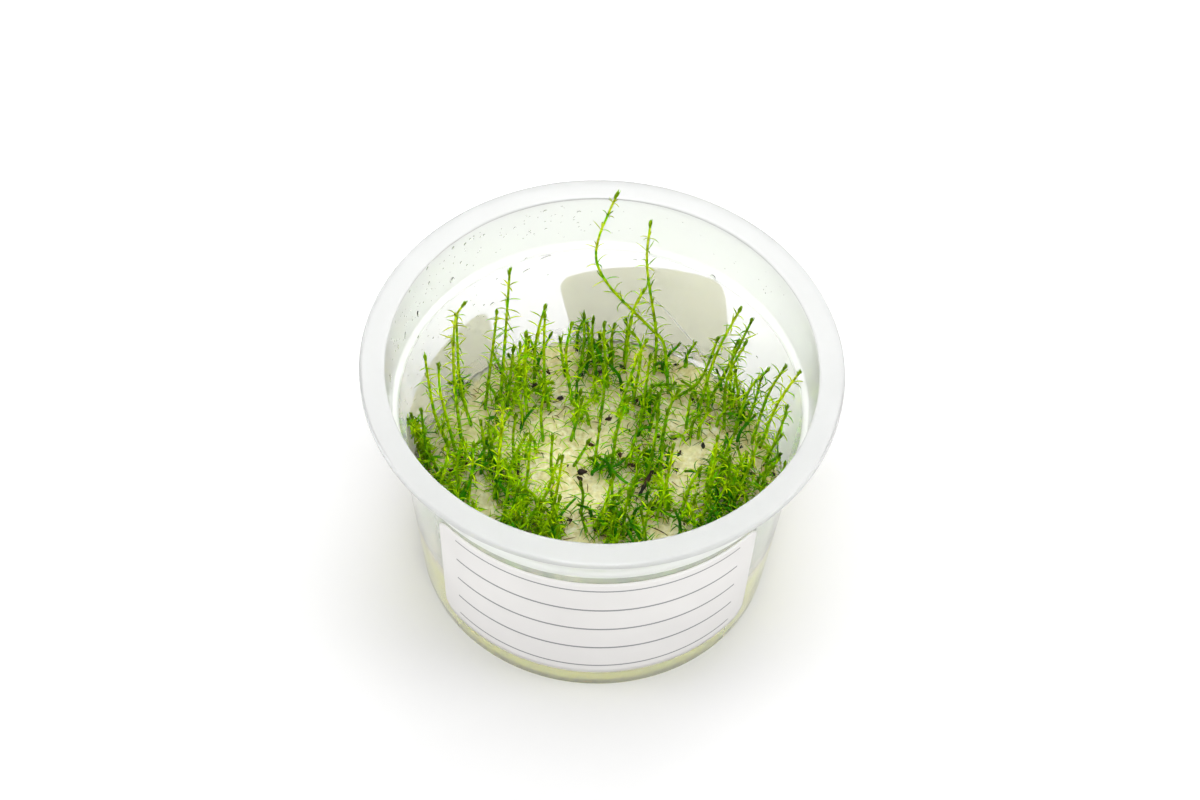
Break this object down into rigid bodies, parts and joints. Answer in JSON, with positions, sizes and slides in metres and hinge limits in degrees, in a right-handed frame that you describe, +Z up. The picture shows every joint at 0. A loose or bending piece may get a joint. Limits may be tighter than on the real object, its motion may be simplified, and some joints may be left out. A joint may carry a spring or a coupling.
{
  "type": "aquatic plant in a culture cup",
  "caption": "Water milfoil shoots standing in nutrient gel in a clear flat-rimmed culture cup with paper labels.",
  "frame": {"origin": "middle of the cup's foot ring, on the surface the cup stands on", "axes": "+Z up along the cup's axis, -Y towards the side with the large label, +X to that label's right"},
  "size_m": [0.1008, 0.1008, 0.0714],
  "materials": {
    "cup_plastic": "clear",
    "gel": "translucent wet gel",
    "label_paper": "matt paper",
    "shoot_green": "satin plant tissue"
  },
  "bodies": {
    "root": {"cup": "cup_plastic", "gel": "gel", "label_front": "label_paper", "label_left": "label_paper", "label_back": "label_paper", "shoot_01": "shoot_green", "shoot_02": "shoot_green", "shoot_03": "shoot_green", "shoot_04": "shoot_green", "shoot_05": "shoot_green", "shoot_06": "shoot_green", "shoot_07": "shoot_green", "shoot_08": "shoot_green", "shoot_09": "shoot_green", "shoot_10": "shoot_green", "shoot_11": "shoot_green", "shoot_12": "shoot_green", "shoot_13": "shoot_green", "shoot_14": "shoot_green", "shoot_15": "shoot_green", "shoot_16": "shoot_green", "shoot_17": "shoot_green", "shoot_18": "shoot_green", "shoot_19": "shoot_green", "shoot_20": "shoot_green", "shoot_21": "shoot_green", "shoot_22": "shoot_green", "shoot_23": "shoot_green", "shoot_24": "shoot_green", "shoot_25": "shoot_green", "shoot_26": "shoot_green", "shoot_27": "shoot_green", "shoot_28": "shoot_green", "shoot_29": "shoot_green", "shoot_30": "shoot_green", "shoot_31": "shoot_green", "shoot_32": "shoot_green", "shoot_33": "shoot_green", "shoot_34": "shoot_green", "shoot_35": "shoot_green", "shoot_36": "shoot_green", "shoot_37": "shoot_green", "shoot_38": "shoot_green", "shoot_39": "shoot_green", "shoot_40": "shoot_green", "shoot_41": "shoot_green", "shoot_42": "shoot_green", "shoot_43": "shoot_green", "shoot_44": "shoot_green", "shoot_45": "shoot_green", "shoot_46": "shoot_green", "shoot_47": "shoot_green", "shoot_48": "shoot_green", "shoot_49": "shoot_green", "shoot_50": "shoot_green", "shoot_51": "shoot_green", "shoot_52": "shoot_green", "shoot_53": "shoot_green", "shoot_54": "shoot_green", "shoot_55": "shoot_green"}
  },
  "joints": []
}
